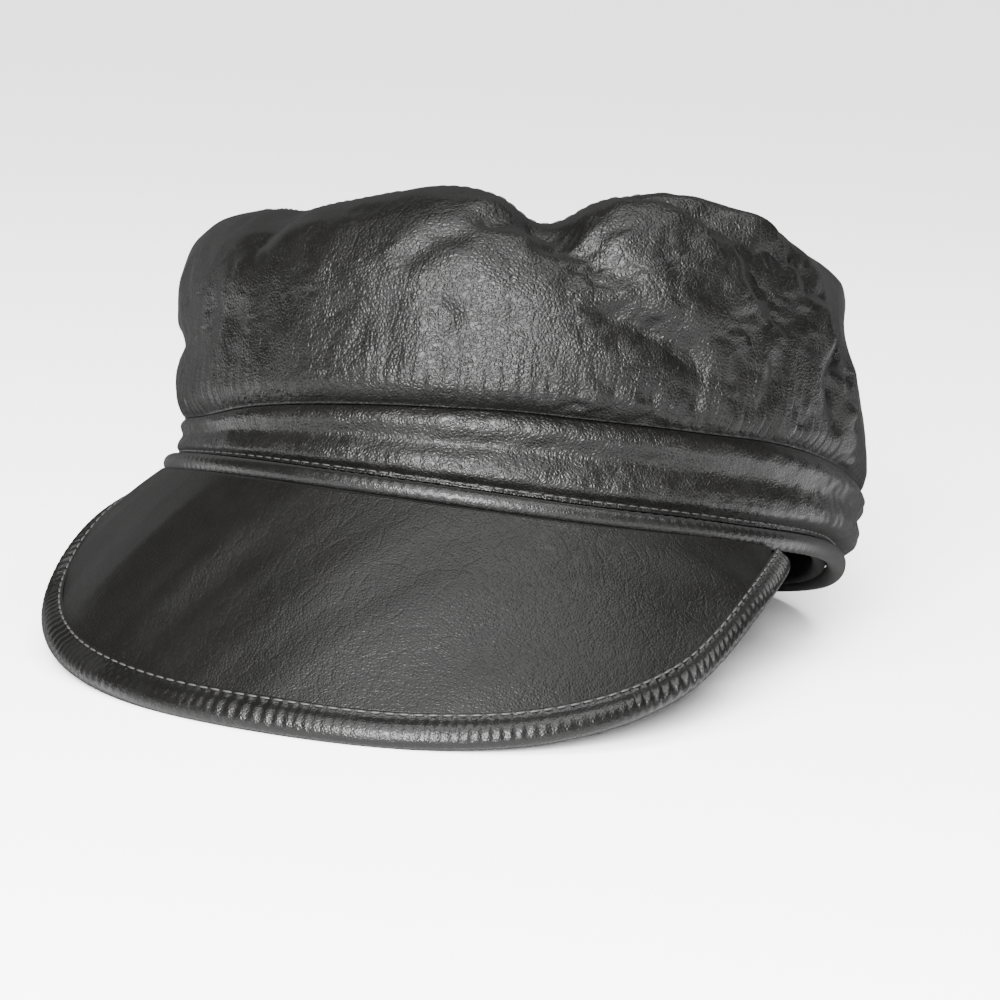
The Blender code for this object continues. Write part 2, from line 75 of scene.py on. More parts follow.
# angle, seam, girth of the band, then tuck, hem, low, high, shoulder and top of the crown
sections = [
    (-180, 0.94, 0.3, 0.2, 0.8, 0.9, 0.7, -0.3, 0.86),
    (-140, 0.86, 0.3, 0.2, 0.7, 0.9, 0.8, -0.2, 0.80),
    (-100, 0.66, 0.1, 0.1, 0.6, 0.8, 0.9, 0.1, 0.76),
    (-60, 0.50, 0.0, 0.0, 0.5, 0.9, 1.2, 0.5, 0.74),
    (-38, 0.52, 0.0, 0.0, 0.7, 0.9, 1.0, 0.2, 0.71),
    (-24, 0.64, 0.0, 0.1, 0.8, 1.0, 0.9, 0.0, 0.72),
    (-5, 0.77, 0.1, 0.2, 0.9, 1.0, 0.9, -0.2, 0.80),
    (5, 0.83, 0.1, 0.2, 0.9, 1.0, 0.9, -0.2, 0.845),
    (14, 0.88, 0.1, 0.2, 0.9, 1.0, 0.9, -0.3, 0.83),
    (23, 0.93, 0.1, 0.2, 0.9, 1.0, 0.8, -0.4, 0.795),
    (32, 0.95, 0.1, 0.2, 0.9, 1.0, 0.8, -0.3, 0.89),
    (43, 0.97, 0.2, 0.2, 0.9, 1.0, 0.8, -0.3, 0.985),
    (56, 0.98, 0.3, 0.3, 0.9, 1.0, 0.8, -0.4, 0.995),
    (66, 1.00, 0.4, 0.3, 0.9, 0.9, 0.7, -0.5, 0.985),
    (75, 0.98, 0.6, 0.3, 0.9, 0.8, 0.4, -0.6, 0.95),
    (89, 0.91, 0.8, 0.4, 0.9, 0.6, -0.3, -0.4, 0.92),
    (107, 0.84, 0.9, 0.6, 0.9, 0.2, -1.1, -0.6, 0.96),
    (125, 0.85, 0.6, 0.5, 0.9, 0.4, -0.6, -0.6, 0.94),
    (150, 0.92, 0.4, 0.3, 0.9, 0.8, 0.3, -0.5, 0.90),
]
seamColumn, girthColumn, tuckColumn, topColumn = 1, 2, 3, 8
# ways up the crown of tuck, hem, low, high, shoulder and top
stations = (0.00, 0.10, 0.26, 0.50, 0.72, 0.86)
centreTop, topLevelWay = 0.84, 0.96
# way, share of the head's outline, share of the climb
crownProfile = [
    (0.00, 1.000, 0.00), (0.04, 1.000, 0.02), (0.22, 1.000, 0.32), (0.50, 1.000, 0.68),
    (0.62, 0.985, 0.86), (0.70, 0.945, 0.955), (0.76, 0.880, 1.00), (0.84, 0.720, 0.995),
    (0.93, 0.400, 0.95), (1.00, 0.000, 0.92),
]
reachColumn, climbColumn, leastReach = 1, 2, 0.15
# dents and folds: angle, way, length, width, heading, depth
folds = [
    (26, 0.62, 0.30, 0.11, 118, -0.85), (34, 0.48, 0.14, 0.10, 150, -0.45),
    (40, 0.26, 0.24, 0.08, -22, -0.45), (46, 0.36, 0.22, 0.08, -30, 0.30),
    (52, 0.66, 0.30, 0.08, -20, -0.65), (60, 0.49, 0.16, 0.09, -78, -0.50),
    (63, 0.64, 0.22, 0.08, -20, 0.50), (70, 0.60, 0.18, 0.07, -38, -0.55),
    (65, 0.40, 0.16, 0.13, 80, -0.35), (75, 0.38, 0.22, 0.07, 84, 0.40),
    (81, 0.34, 0.22, 0.07, 80, -0.45), (88, 0.22, 0.26, 0.08, 76, 0.30),
    (108, 0.55, 0.30, 0.12, 80, -0.40), (135, 0.45, 0.34, 0.12, 60, -0.60),
    (163, 0.58, 0.30, 0.13, 110, -0.60), (-162, 0.40, 0.32, 0.12, 70, -0.50),
    (-128, 0.60, 0.28, 0.13, 105, -0.70), (-96, 0.42, 0.30, 0.12, 75, -0.45),
    (-59, 0.24, 0.22, 0.06, 0, -0.50), (-28, 0.68, 0.24, 0.12, 120, -0.50),
    (-14, 0.50, 0.30, 0.12, -35, 0.15), (24, 0.82, 0.34, 0.16, 95, -0.60),
    (105, 0.86, 0.40, 0.20, 70, -0.70), (-150, 0.88, 0.45, 0.22, 60, -0.60),
    (-60, 0.86, 0.40, 0.20, 110, 0.35),
]


# a smooth run between two values with the given slopes, u from 0 to 1 over the span
def blend(u, span, start, end, startSlope, endSlope):
    toEnd = 3 * u**2 - 2 * u**3
    bend = (u**3 - 2 * u**2 + u) * startSlope + (u**3 - u**2) * endSlope
    return (1 - toEnd) * start + toEnd * end + span * bend


# reads a column of a table as a smooth curve over its first column
def curve(rows, column, at, period=None):
    places = np.array([row[0] for row in rows], float)
    values = np.array([row[column] for row in rows], float)
    at = np.asarray(at, float)
    if period:
        places = np.concatenate([places[-2:] - period, places, places[:3] + period])
        values = np.concatenate([values[-2:], values, values[:3]])
        at = (at - places[2]) % period + places[2]
    slopes = np.gradient(values, places)
    first = np.clip(np.searchsorted(places, at, side="right") - 1, 0, len(places) - 2)
    span = places[first + 1] - places[first]
    u = np.clip((at - places[first]) / span, 0, 1)
    return blend(u, span, values[first], values[first + 1], slopes[first], slopes[first + 1])


def around(rows, column, angle):
    return curve(rows, column, angle, 360)


def unit(vectors):
    return vectors / np.maximum(np.linalg.norm(vectors, axis=-1, keepdims=True), 1e-12)


def ease(low, high, value):
    u = np.clip((value - low) / (high - low), 0, 1)
    return u * u * (3 - 2 * u)


def hill(value, centre, width):
    return np.exp(-((value - centre) / width) ** 2)


def signedAngle(angle):
    return (angle + 180) % 360 - 180


def ringAngles(columns):
    return np.arange(columns) * 360 / columns - 180


def gridOf(columnValues, rowValues):
    shape = len(rowValues), len(columnValues)
    return np.broadcast_to(columnValues, shape), np.broadcast_to(rowValues[:, None], shape)


# a point of the rim's outline, moved out and up, before the cap leans back
def rimPoint(angle, out, height):
    a = np.radians(angle)
    point = np.stack([halfWidth * np.sin(a), -halfLength * np.cos(a)], -1)
    normal = unit(np.stack([np.sin(a) / halfWidth, -np.cos(a) / halfLength], -1))
    flat = point + normal * np.asarray(out)[..., None]
    lifted = around(rimHeights, 1, angle) * cap["rimWave"] + height
    return np.concatenate([flat, np.broadcast_to(lifted, flat.shape[:-1])[..., None]], -1)


def lean(points):
    x, y, z = points[..., 0], points[..., 1], points[..., 2]
    level, steep = math.cos(math.radians(cap["leanAngle"])), math.sin(math.radians(cap["leanAngle"]))
    return np.stack([x, y * level + z * steep, z * level - y * steep], -1)


everyDegree = np.linspace(-180, 180, 361)
rimLow = lean(rimPoint(everyDegree, 0 * everyDegree + rollOut, -cap["hemRadius"]))[:, 2].min()
lift = -rimLow - cap["floorPress"]
shift = np.zeros(3)


# sets the leaning cap down, with what reaches the surface pressed flat on it
def stand(points):
    standing = lean(points)
    standing[..., 2] = np.maximum(standing[..., 2] + lift, 0.0)
    return standing + shift


def hemRing(angles, turn, radius):
    return stand(rimPoint(angles, rollOut + radius * math.cos(turn), radius * math.sin(turn)))


def hemTurns(sides):
    return [2 * math.pi * (k + 0.5) / sides for k in range(sides)]


# the solids stand centred on the origin, so the hem's box tells how far they were moved
hemLow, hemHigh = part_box("hem_roll")
hemColumns, hemSides = cap["hemSolid"]
hemRadii = np.full(hemColumns, cap["hemRadius"])
ring = np.concatenate([hemRing(ringAngles(hemColumns), turn, hemRadii) for turn in hemTurns(hemSides)])
middle = [(hemLow[k] + hemHigh[k] - ring[:, k].min() - ring[:, k].max()) / 2 for k in range(2)]
shift = np.array(middle + [0.0])
print("skipper cap: shape set on the frame, moved by", [round(float(v), 5) for v in shift])


# how far the crown swells out beyond the head's outline
def crownOut(angle, way):
    stops = [cap["crownSwell"] * around(sections, tuckColumn + k, angle) for k in range(5)]
    nothing = 0 * stops[0]
    stops.append(nothing)
    inside = range(1, len(stations) - 1)
    slopes = [(stops[k + 1] - stops[k - 1]) / (stations[k + 1] - stations[k - 1]) for k in inside]
    slopes = [nothing] + slopes + [nothing]
    out = 0 * way * nothing
    for k in range(len(stations) - 1):
        low, high = stations[k], stations[k + 1]
        u = np.clip((way - low) / (high - low), 0, 1)
        part = blend(u, high - low, stops[k], stops[k + 1], slopes[k], slopes[k + 1])
        out = np.where((way >= low) & (way <= high), part, out)
    return out


# the crown without folds, by angle round the head and way from the seam, 0, to the middle of the top, 1
def crownSmooth(angle, way):
    seam = cap["bandHeight"] * around(sections, seamColumn, angle)
    crest = cap["bandHeight"] + cap["crownRise"] * around(sections, topColumn, angle)
    wave = around(rimHeights, 1, angle) * cap["rimWave"]
    inner = ease(stations[4], topLevelWay, way)
    crest = crest * (1 - inner) + (cap["bandHeight"] + cap["crownRise"] * centreTop) * inner
    climb = curve(crownProfile, climbColumn, way)
    height = seam + cap["pieceGap"] + wave + (crest - seam - wave) * climb
    reach = curve(crownProfile, reachColumn, way)
    rim = rimPoint(angle, 0 * reach, 0.0)
    normal = unit((rimPoint(angle, 0 * reach + 1.0, 0.0) - rim)[..., :2])
    flat = rim[..., :2] * reach[..., None] + normal * crownOut(angle, way)[..., None]
    return np.concatenate([flat, height[..., None]], -1)


def crownNormal(angle, way):
    step = 1e-3
    roundHead = crownSmooth(angle + step, way) - crownSmooth(angle - step, way)
    above, below = np.minimum(way + step, 1.0), np.maximum(way - step, 0.0)
    return unit(np.cross(roundHead, crownSmooth(angle, above) - crownSmooth(angle, below)))


# the length from the seam up to each way, measured on the crown's front left
sideWays, sideAngle = np.linspace(0, 1, 160), 45.0
sideRun = crownSmooth(np.full(len(sideWays), sideAngle), sideWays)
sideRun = np.concatenate([[0.0], np.cumsum(np.linalg.norm(np.diff(sideRun, axis=0), axis=1))])


def sideLength(way):
    return np.interp(way, sideWays, sideRun)


def foldPush(angle, way):
    push = 0 * way * angle
    reach = np.maximum(curve(crownProfile, reachColumn, way), leastReach)
    for atAngle, atWay, length, width, heading, depth in folds:
        acrossHead = np.radians(signedAngle(angle - atAngle)) * meanRadius * reach
        upSide = sideLength(way) - sideLength(atWay)
        level, steep = math.cos(math.radians(heading)), math.sin(math.radians(heading))
        along = (acrossHead * level + upSide * steep) / (length * cap["crownRise"])
        aside = (upSide * level - acrossHead * steep) / (width * cap["crownRise"])
        push = push + depth * cap["foldDepth"] * hill(along, 0, 1) * hill(aside, 0, 1)
    return push * np.clip(way / stations[1], 0, 1)


# narrow creases of the crown: angle and way at both ends, width and depth in millimetres
creases = [
    (23.5, 0.72, 13.0, 0.58, 3.0, -2.2), (13.0, 0.58, 3.0, 0.45, 2.6, -1.5),
    (24.0, 0.71, 25.0, 0.56, 3.0, -2.0), (26.0, 0.67, 30.0, 0.51, 2.4, -1.7),
    (34.0, 0.64, 31.0, 0.50, 2.6, -1.7), (20.0, 0.66, 17.0, 0.50, 2.4, -0.7),
    (17.0, 0.71, 5.0, 0.62, 2.6, 0.7), (30.5, 0.48, 38.0, 0.43, 2.4, -0.9),
    (30.5, 0.48, 26.0, 0.42, 2.2, -0.7), (33.0, 0.33, 39.0, 0.255, 3.2, -1.6),
    (39.0, 0.255, 47.5, 0.20, 3.0, -1.5), (34.0, 0.25, 43.0, 0.17, 3.0, 0.8),
    (47.0, 0.25, 51.0, 0.07, 2.6, -1.9), (10.5, 0.31, 12.5, 0.11, 2.6, -1.0),
    (36.0, 0.74, 46.0, 0.675, 3.0, -2.8), (46.0, 0.675, 54.0, 0.58, 3.0, -2.8),
    (54.0, 0.58, 60.0, 0.445, 3.0, -2.2), (48.0, 0.73, 66.0, 0.64, 4.5, 2.2),
    (60.0, 0.600, 70.0, 0.590, 3.0, -2.4), (70.0, 0.590, 78.0, 0.55, 2.8, -1.8),
    (74.0, 0.50, 77.5, 0.30, 2.8, 1.8), (70.0, 0.47, 73.0, 0.30, 2.6, -0.8),
    (80.5, 0.30, 86.5, 0.145, 2.8, 2.0), (86.5, 0.145, 93.0, 0.05, 2.6, 1.8),
    (77.5, 0.26, 83.5, 0.11, 2.6, -2.0), (84.5, 0.30, 91.0, 0.14, 2.6, -1.6),
    (69.5, 0.16, 72.0, 0.09, 2.2, -0.9), (72.0, 0.09, 75.5, 0.14, 2.2, -0.9),
    (57.0, 0.28, 60.0, 0.06, 2.8, -1.8), (63.0, 0.24, 65.0, 0.05, 2.4, -1.5),
    (42.0, 0.14, 44.0, 0.03, 2.2, -0.8), (37.0, 0.15, 38.0, 0.03, 2.2, -0.7),
    (31.0, 0.13, 31.5, 0.03, 2.2, -0.6), (-24.0, 0.70, -26.0, 0.52, 3.2, -1.0),
    (-14.5, 0.60, -13.0, 0.40, 3.0, -0.7), (-27.5, 0.36, -26.0, 0.14, 3.0, -0.8),
    (-35.0, 0.48, -33.0, 0.22, 3.0, -0.8), (-45.0, 0.24, -62.0, 0.20, 3.2, -1.2),
    (-20.0, 0.40, -18.0, 0.12, 2.8, -0.6), (-8.0, 0.46, -6.0, 0.20, 2.8, -0.5),
    (-50.0, 0.56, -46.0, 0.34, 3.0, -0.8), (2.0, 0.30, 3.0, 0.10, 2.6, -0.5),
]
# short creases in patches: how many, angles, ways, heading and its spread, depths, widths and lengths
creasePatches = [
    (120, (-180, 180), (0.05, 0.86), 90, 38, (0.12, 0.42), (1.6, 3.0), (8, 30)),
    (90, (28, 66), (0.05, 0.62), 122, 14, (0.30, 0.70), (0.9, 1.5), (6, 16)),
    (60, (-50, 5), (0.05, 0.55), 88, 10, (0.18, 0.40), (0.9, 1.4), (6, 18)),
    (40, (56, 78), (0.28, 0.64), 60, 40, (0.25, 0.60), (0.9, 1.5), (5, 12)),
]
# folds that lap over: angle and way at both ends, height of the lap in millimetres
laps = [
    (36.0, 0.745, 46.0, 0.68, 1.2), (46.0, 0.68, 54.0, 0.585, 1.5), (54.0, 0.585, 60.0, 0.445, 1.2),
    (60.0, 0.445, 66.0, 0.33, 0.7), (76.0, 0.54, 60.0, 0.595, 1.0),
]
creaseLook = {
    "widen": 1.25, "deepen": 0.80, "ends": (0.55, 1.25), "lip": 0.30, "lipAt": 1.9,
    "bend": (0.8, 3.1), "kink": (0.35, 8.3, 40), "uneven": (0.25, 5.0, 2),
    "seed": 5, "rises": (-1, -1, 0.7),
}
lapLook = {"ends": (0.70, 1.40), "bend": (0.7, 2.7), "sharpness": 1.3, "width": 13.0}
crownLook = {
    "frontColumns": 290, "backColumns": 150, "frontFrom": -80.0, "frontTo": 118.0,
    "rows": 172, "topRows": 40, "innerRows": 14, "topGap": 0.0015, "topEnd": 0.985, "footWay": 0.08,
    "seamWay": 0.79, "seamDepth": 0.0006, "seamWidth": 0.7, "seamRidge": (0.5, -2.2, 1.6),
    "unevenness": 0.00009, "waves": (0.009, 0.035), "wavesSeed": 3,
    "gatherDepth": 0.00035, "gatherSpacing": 3.6, "gatherSway": (2.2, 9.0), "gatherSlant": 9,
    "gatherWays": (0.05, 0.26), "gatherPatch": (0.65, 14.0), "gatherMost": (1.0, 55, 24), "startWay": 0.05,
}


# where a place lies beside a line on the crown: -1 to 1 along it, and millimetres to its side
def besideLine(angle, way, angle0, way0, angle1, way1):
    midAngle, midWay = (angle0 + angle1) / 2, (way0 + way1) / 2
    girth = perDegree * max(float(curve(crownProfile, reachColumn, midWay)), leastReach)
    x = signedAngle(angle - midAngle) * girth
    y = (sideLength(way) - sideLength(midWay)) * mm
    dx, dy = (angle1 - angle0) * girth, float(sideLength(way1) - sideLength(way0)) * mm
    length = math.hypot(dx, dy)
    return (x * dx + y * dy) / length / (length / 2), (y * dx - x * dy) / length, midAngle, midWay


def creasePush(angle, way, rows):
    push = np.zeros(np.broadcast(angle, way).shape)
    bend, bendWaves = creaseLook["bend"]
    kink, kinkWaves, kinkStart = creaseLook["kink"]
    uneven, unevenWaves, unevenStart = creaseLook["uneven"]
    for angle0, way0, angle1, way1, width, depth in rows:
        along, aside, midAngle, midWay = besideLine(angle, way, angle0, way0, angle1, way1)
        width = width * creaseLook["widen"]
        aside = aside + bend * np.sin(along * bendWaves + midAngle)
        aside = aside + kink * np.sin(along * kinkWaves + midWay * kinkStart)
        taper = 1 - ease(*creaseLook["ends"], np.abs(along))
        taper = taper * (1 - uneven + uneven * np.sin(along * unevenWaves + midAngle * unevenStart))
        lips = creaseLook["lip"] * hill(np.abs(aside), creaseLook["lipAt"] * width, width)
        push += creaseLook["deepen"] * depth / mm * taper * (hill(aside, 0, width) - lips)
    return push


def strayCreases(seed):
    pick = random.Random(seed)
    rows = []
    for count, angleRange, wayRange, heading, spread, depths, widths, lengths in creasePatches:
        for _ in range(count):
            angle, way = pick.uniform(*angleRange), pick.uniform(*wayRange)
            lie = math.radians(pick.gauss(heading, spread))
            length = pick.uniform(*lengths) / mm
            depth = pick.uniform(*depths) * pick.choice(creaseLook["rises"])
            halfAngle = math.degrees(length * math.cos(lie) / meanRadius) / 2
            halfWay = length * math.sin(lie) / sideRun[-1] / 2
            ends = angle - halfAngle, way - halfWay, angle + halfAngle, way + halfWay
            rows.append((*ends, pick.uniform(*widths), depth))
    return rows


def lapPush(angle, way):
    push = np.zeros(np.broadcast(angle, way).shape)
    bend, bendWaves = lapLook["bend"]
    for angle0, way0, angle1, way1, height in laps:
        along, aside, midAngle, _ = besideLine(angle, way, angle0, way0, angle1, way1)
        aside = aside + bend * np.sin(along * bendWaves + midAngle)
        step = np.tanh(aside / lapLook["sharpness"]) * hill(aside, 0, lapLook["width"])
        push -= height / mm * (1 - ease(*lapLook["ends"], np.abs(along))) * step
    return push


# a sum of waves of mixed lengths and directions, about 1 high
def unevenness(points, seed, shortest, longest, count=28):
    pick = np.random.RandomState(seed)
    total = np.zeros(points.shape[:-1])
    for _ in range(count):
        direction = unit(pick.normal(size=3))
        wave = 2 * math.pi / math.exp(pick.uniform(math.log(shortest), math.log(longest)))
        total += np.sin(points @ direction * wave + pick.uniform(0, 2 * math.pi))
    return total / math.sqrt(count / 2)


# small tucks side by side along a seam, their spacing swaying a little
def gathers(run, spacing, sway, start):
    amount, length = sway
    return np.sin(2 * math.pi * run / spacing + amount * np.sin(run / length) + start)


def patches(run, length, start=0):
    return 0.5 + 0.5 * np.sin(run / length + start)


allCreases = creases + strayCreases(creaseLook["seed"])


def crownFace(angle, way):
    smooth = crownSmooth(angle, way)
    push = foldPush(angle, way) + creasePush(angle, way, allCreases) + lapPush(angle, way)
    push += crownLook["unevenness"] * unevenness(smooth, crownLook["wavesSeed"], *crownLook["waves"])
    run = angle * perDegree
    share, patchLength = crownLook["gatherPatch"]
    more, mostAt, mostWidth = crownLook["gatherMost"]
    fade = (1 - ease(*crownLook["gatherWays"], way)) * (1 - share + share * patches(run, patchLength))
    fade = fade * (1 + more * hill(angle, mostAt, mostWidth))
    start = crownLook["gatherSlant"] * way
    tucks = gathers(run, crownLook["gatherSpacing"], crownLook["gatherSway"], start)
    push += crownLook["gatherDepth"] * tucks * fade
    fromSeam = (sideLength(way) - sideLength(crownLook["seamWay"])) * mm
    ridge, ridgeAt, ridgeWidth = crownLook["seamRidge"]
    push -= crownLook["seamDepth"] * hill(fromSeam, 0, crownLook["seamWidth"])
    push += crownLook["seamDepth"] * ridge * hill(fromSeam, ridgeAt, ridgeWidth)
    push = push * ease(0.0, crownLook["startWay"], way)
    return smooth + crownNormal(angle, way) * push[..., None]


def addObject(name, data):
    made = bpy.data.objects.new(name, data)
    bpy.context.scene.collection.objects.link(made)
    return made


def meshPiece(name, verts, faces, material):
    data = bpy.data.meshes.new(name)
    data.from_pydata([tuple(v) for v in verts], [], faces)
    work = bmesh.new()
    work.from_mesh(data)
    bmesh.ops.recalc_face_normals(work, faces=work.faces)
    work.to_mesh(data)
    work.free()
    data.materials.append(material)
    data.shade_smooth()
    return addObject(name, data)


def gridFaces(rows, columns, start=0, closedRows=False, closedColumns=False):
    faces = []
    for i in range(rows if closedRows else rows - 1):
        low, high = start + i * columns, start + (i + 1) % rows * columns
        for j in range(columns if closedColumns else columns - 1):
            k = (j + 1) % columns
            faces.append((low + j, low + k, high + k, high + j))
    return faces


# a strip of faces between two closed rings of the same count
def bridge(low, high, columns):
    return [(low + j, low + (j + 1) % columns, high + (j + 1) % columns, high + j) for j in range(columns)]


def place(piece, slotName, *nodes):
    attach(piece, "root")
    if nodes:
        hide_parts(*nodes)


# adds a node: a socket among the inputs is linked, any other value is set
def node(tree, kind, inputs, **traits):
    made = tree.nodes.new(kind)
    for name, value in traits.items():
        setattr(made, name, value)
    for name, value in inputs.items():
        if isinstance(value, bpy.types.NodeSocket):
            tree.links.new(value, made.inputs[name])
        else:
            made.inputs[name].default_value = value
    return made


mixSockets = {"FLOAT": (2, 3, 0), "VECTOR": (4, 5, 1), "RGBA": (6, 7, 2)}  # first, second, result


def mix(tree, kind, share, first, second):
    firstInput, secondInput, result = mixSockets[kind]
    inputs = {0: share, firstInput: first, secondInput: second}
    return node(tree, "ShaderNodeMix", inputs, data_type=kind).outputs[result]


def noise(tree, where, scale, detail):
    return node(tree, "ShaderNodeTexNoise", {"Vector": where, "Scale": scale, "Detail": detail})


def plainMaterial(name, inputs):
    material = bpy.data.materials.new(name)
    material.use_nodes = True
    for key, value in inputs.items():
        material.node_tree.nodes["Principled BSDF"].inputs[key].default_value = value
    return material


# dark and light tone, gloss, least and most roughness, grain scale, depths of the bumps in metres
leatherColumns = "dark", "light", "gloss", "smooth", "rough", "grain", "pebble", "crackle", "fold"
leatherLook = {
    "crown": (0.0012, 0.0028, 0.105, 0.34, 0.46, 1050, 0.00012, 0.00008, 0.00010),
    "top": (0.0012, 0.0028, 0.105, 0.34, 0.46, 1050, 0.00012, 0.00008, 0.00010),
    "band": (0.0014, 0.0030, 0.13, 0.32, 0.44, 1080, 0.00012, 0.00006, 0.00008),
    "hem": (0.0012, 0.0028, 0.17, 0.32, 0.44, 1150, 0.00006, 0.00002, 0.00006),
    "sweatband": (0.0012, 0.0026, 0.07, 0.50, 0.64, 1100, 0.00005, 0.00002, 0.00006),
    "peak": (0.0014, 0.0030, 0.085, 0.34, 0.44, 1200, 0.00007, 0.00005, 0.00008),
    "binding": (0.0012, 0.0028, 0.15, 0.28, 0.40, 1200, 0.00006, 0.00002, 0.00006),
}
# what all leathers share: scale and detail of each noise, edges of the cells, and where the gloss goes
skinLook = {
    "warmth": (1.0, 0.955, 0.92), "blotches": (45, 4), "dullness": (140, 3), "dullFrom": 0.3, "dullTo": 0.7,
    "bend": (260, 2), "bendShare": 0.0005, "pebbleEdge": 0.34, "bumpStrength": 0.8,
    "crackleScale": 240, "crackleStretch": (1.0, 1.0, 0.55), "crackleEdge": 0.14,
    "edgeOnFrom": 0.45, "edgeOnTo": 0.80, "edgeOnRough": 1.0,
}


def bump(tree, height, depth, normal=None):
    inputs = {"Strength": skinLook["bumpStrength"], "Distance": depth, "Height": height}
    if normal:
        inputs["Normal"] = normal
    return node(tree, "ShaderNodeBump", inputs).outputs["Normal"]


# rounded cells of a grain, 0 in the grooves between them
def cells(tree, where, scale, stretch, edge):
    inputs = {0: where, 1: stretch}
    stretched = node(tree, "ShaderNodeVectorMath", inputs, operation="MULTIPLY").outputs["Vector"]
    inputs = {"Vector": stretched, "Scale": scale}
    found = node(tree, "ShaderNodeTexVoronoi", inputs, feature="DISTANCE_TO_EDGE").outputs["Distance"]
    inputs = {"Value": found, "From Max": edge}
    return node(tree, "ShaderNodeMapRange", inputs, interpolation_type="SMOOTHSTEP").outputs["Result"]


def leather(kind):
    look = dict(zip(leatherColumns, leatherLook[kind]))
    material = plainMaterial(kind + "Leather", {"Specular IOR Level": look["gloss"]})
    tree = material.node_tree
    where = node(tree, "ShaderNodeTexCoord", {}).outputs["Object"]
    dark, light = [(*[look[tone] * w for w in skinLook["warmth"]], 1) for tone in ("dark", "light")]
    blotches = noise(tree, where, *skinLook["blotches"]).outputs["Fac"]
    colour = mix(tree, "RGBA", blotches, dark, light)

    dullness = noise(tree, where, *skinLook["dullness"]).outputs["Fac"]
    span = {"From Min": skinLook["dullFrom"], "From Max": skinLook["dullTo"]}
    worn = {"Value": dullness, "To Min": look["smooth"], "To Max": look["rough"], **span}
    rough = node(tree, "ShaderNodeMapRange", worn).outputs["Result"]
    # fine wrinkles hide the gloss where the leather is seen edge on
    edgeOn = node(tree, "ShaderNodeLayerWeight", {}).outputs["Facing"]
    span = {"Value": edgeOn, "From Min": skinLook["edgeOnFrom"], "From Max": skinLook["edgeOnTo"]}
    edgeShare = node(tree, "ShaderNodeMapRange", span, interpolation_type="SMOOTHSTEP").outputs["Result"]
    rough = mix(tree, "FLOAT", edgeShare, rough, skinLook["edgeOnRough"])

    bend = noise(tree, where, *skinLook["bend"]).outputs["Color"]
    moved = mix(tree, "VECTOR", skinLook["bendShare"], where, bend)
    pebbles = cells(tree, moved, look["grain"], (1, 1, 1), skinLook["pebbleEdge"])
    normal = bump(tree, pebbles, look["pebble"])
    stretch, edge = skinLook["crackleStretch"], skinLook["crackleEdge"]
    crackle = cells(tree, moved, skinLook["crackleScale"], stretch, edge)
    normal = bump(tree, crackle, look["crackle"], normal)
    normal = bump(tree, dullness, look["fold"], normal)
    for name, source in (("Base Color", colour), ("Roughness", rough), ("Normal", normal)):
        tree.links.new(source, tree.nodes["Principled BSDF"].inputs[name])
    return material


# crown: a finely creased outer face over a plain inner one
def crownShell(name, kind, wayFrom, wayTo, rows, closedTop):
    frontFrom, frontTo = crownLook["frontFrom"], crownLook["frontTo"]
    front = np.linspace(frontFrom, frontTo, crownLook["frontColumns"], endpoint=False)
    back = np.linspace(frontTo, frontFrom + 360, crownLook["backColumns"], endpoint=False)
    angles = np.concatenate([front, back])
    columns = len(angles)
    outer = crownFace(*gridOf(angles, np.linspace(wayFrom, wayTo, rows)))
    inRows = crownLook["innerRows"]
    grid = gridOf(angles, np.linspace(wayFrom, wayTo, inRows))
    smooth = crownSmooth(*grid)
    inner = smooth + crownNormal(*grid) * (foldPush(*grid) - cap["crownWall"])[..., None]
    level = ease(0.0, crownLook["footWay"], grid[1])
    inner[..., 2] = smooth[..., 2] * (1 - level) + inner[..., 2] * level
    verts = np.concatenate([stand(outer).reshape(-1, 3), stand(inner).reshape(-1, 3)])
    start = rows * columns
    faces = gridFaces(rows, columns, 0, closedColumns=True)
    faces += gridFaces(inRows, columns, start, closedColumns=True)
    lastOuter, lastInner = start - columns, start + (inRows - 1) * columns
    if closedTop:
        tops = stand(np.array([outer[-1].mean(axis=0), inner[-1].mean(axis=0)]))
        for k, first in enumerate((lastOuter, lastInner)):
            faces += [(first + j, first + (j + 1) % columns, len(verts) + k) for j in range(columns)]
        verts = np.concatenate([verts, tops])
    faces += bridge(0, start, columns)
    if not closedTop:
        faces += bridge(lastOuter, lastInner, columns)
    return meshPiece(name, verts, faces, leather(kind))


crownSide = crownShell("crownSide", "crown", 0.0, crownLook["seamWay"], crownLook["rows"], closedTop=False)
place(crownSide, "crown_leather", "crown_side")
topFrom = crownLook["seamWay"] + crownLook["topGap"]
crownTop = crownShell("crownTop", "top", topFrom, crownLook["topEnd"], crownLook["topRows"], closedTop=True)
place(crownTop, "top_leather", "crown_top")
print("skipper cap: crown done")


# band: two swells with a valley between them, and a row of stitches above the hem
# share up the band, relief, share of the bulge
bandProfile = [
    (0.00, 0.2, 0.0), (0.05, 0.0, 0.1), (0.15, 1.1, 0.6), (0.30, 1.0, 0.9), (0.55, -0.4, 1.0),
    (0.80, 1.0, 0.95), (0.88, 0.9, 0.85), (1.00, -0.1, 0.6),
]
reliefColumn, bulgeColumn = 1, 2
bandLook = {
    "columns": 760, "rows": 46, "innerRows": 8,
    "stitchShare": 0.05, "stitchSink": 0.00030, "grooveWidth": 0.045,
    "wrinkle": 0.00022, "spacing": 3.1, "sway": (1.9, 7.0), "slant": 3,
    "patch": 11.0, "patchSway": (2, 23.0),
    "lowSwell": (1.0, 0.20, 0.15), "highSwell": (0.45, 0.80, 0.15), "leftSwell": (0.45, -30, 30),
    "unevenness": 0.00012, "waves": (0.004, 0.016), "wavesSeed": 8, "fadeIn": 0.03, "fadeOut": 0.93,
}


